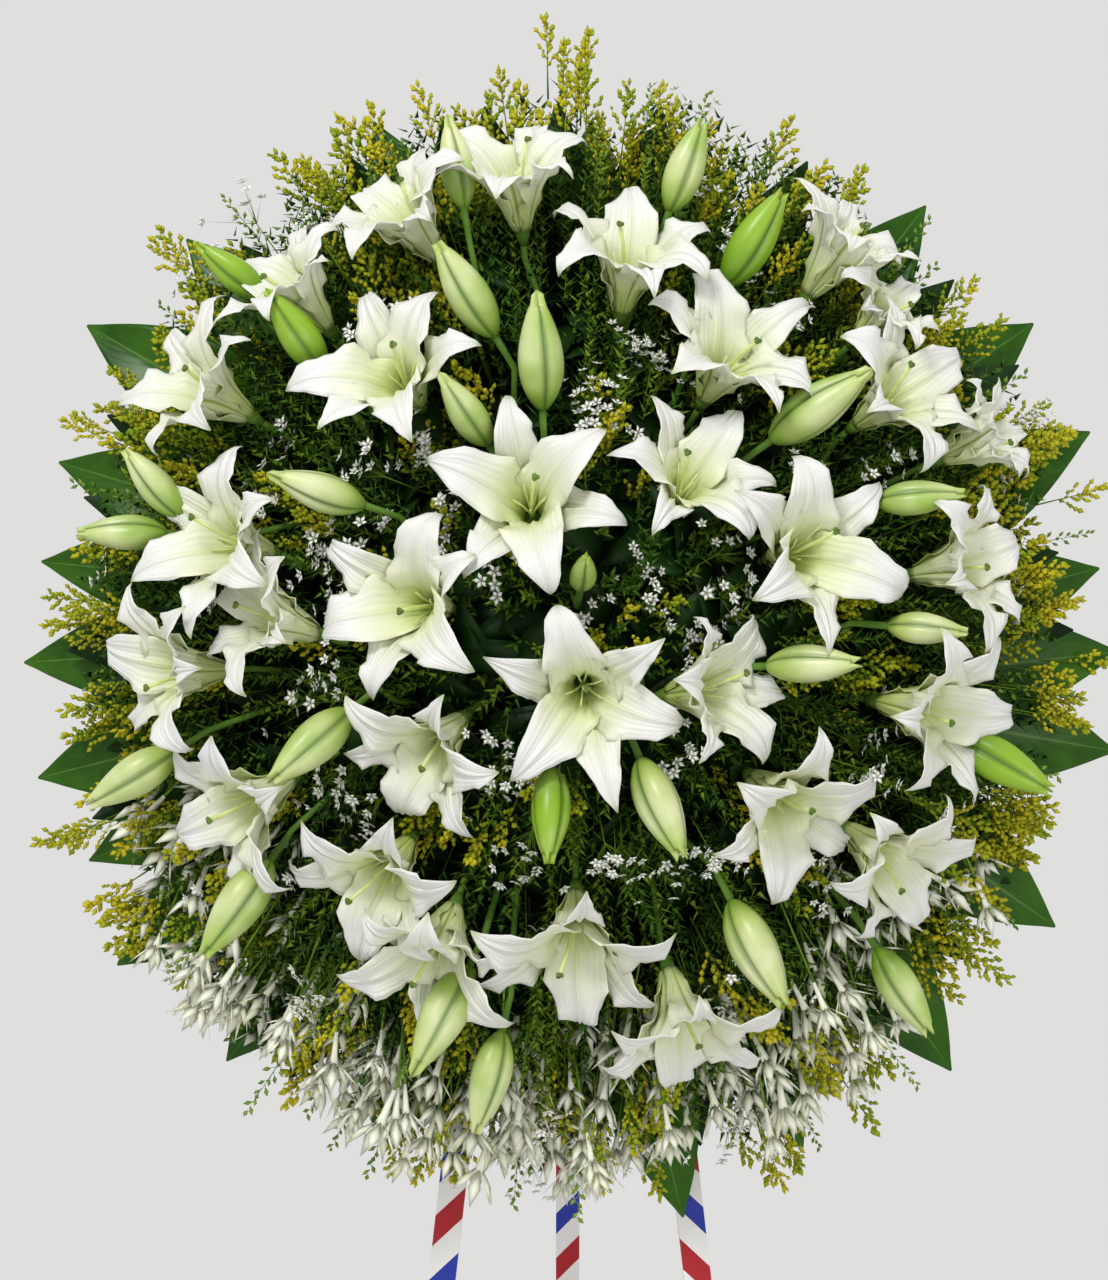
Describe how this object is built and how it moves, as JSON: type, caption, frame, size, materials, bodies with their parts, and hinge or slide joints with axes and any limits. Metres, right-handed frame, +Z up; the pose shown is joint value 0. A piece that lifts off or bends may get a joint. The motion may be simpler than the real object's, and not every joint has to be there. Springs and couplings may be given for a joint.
{
  "type": "funeral wreath",
  "caption": "Round domed funeral wreath of white lilies, buds, goldenrod and small white flowers edged with broad leaves, on a wooden tripod with striped ribbon-wrapped legs.",
  "frame": {"origin": "floor level under the middle of the whole wreath and stand", "axes": "+Z is up, the wreath faces -Y, +X is to its right as seen from the front"},
  "size_m": [1.0096, 0.7702, 1.6894],
  "materials": {
    "wood": "matte",
    "sleeve": "satin",
    "steel": "satin",
    "tray": "matte",
    "foam": "matte",
    "lily": "satin",
    "leaf": "satin",
    "goldenrod": "matte",
    "filler": "matte",
    "tuberose": "satin"
  },
  "bodies": {
    "root": {"apex_block": "wood", "apex_bolt": "steel", "back_leg": "wood", "back_stay": "wood", "foam_core": "foam", "foam_tray": "tray", "front_leg_left": "wood", "front_leg_right": "wood", "goldenrod_01": "goldenrod", "goldenrod_02": "goldenrod", "goldenrod_03": "goldenrod", "goldenrod_04": "goldenrod", "goldenrod_05": "goldenrod", "leaf_twig_01": "leaf", "leaf_twig_02": "leaf", "leaf_twig_03": "leaf", "leaf_twig_04": "leaf", "leaf_twig_05": "leaf", "leaf_twig_06": "leaf", "leaf_twig_07": "leaf", "leaf_twig_08": "leaf", "leaf_twig_09": "leaf", "leaf_twig_10": "leaf", "leaf_twig_11": "leaf", "leg_sleeve_back": "sleeve", "leg_sleeve_left": "sleeve", "leg_sleeve_right": "sleeve", "lily_stem_01": "lily", "lily_stem_02": "lily", "lily_stem_03": "lily", "lily_stem_04": "lily", "lily_stem_05": "lily", "lily_stem_06": "lily", "lily_stem_07": "lily", "lily_stem_08": "lily", "lily_stem_09": "lily", "lily_stem_10": "lily", "lily_stem_11": "lily", "lily_stem_12": "lily", "lily_stem_13": "lily", "lily_stem_14": "lily", "lily_stem_15": "lily", "lily_stem_16": "lily", "lily_stem_17": "lily", "lily_stem_18": "lily", "lily_stem_19": "lily", "lily_stem_20": "lily", "lily_stem_21": "lily", "lily_stem_22": "lily", "lower_rail": "wood", "tray_bolt": "steel", "tuberose_01": "tuberose", "tuberose_02": "tuberose", "tuberose_03": "tuberose", "tuberose_04": "tuberose", "upper_rail": "wood", "white_filler_01": "filler", "white_filler_02": "filler", "white_filler_03": "filler"}
  },
  "joints": []
}
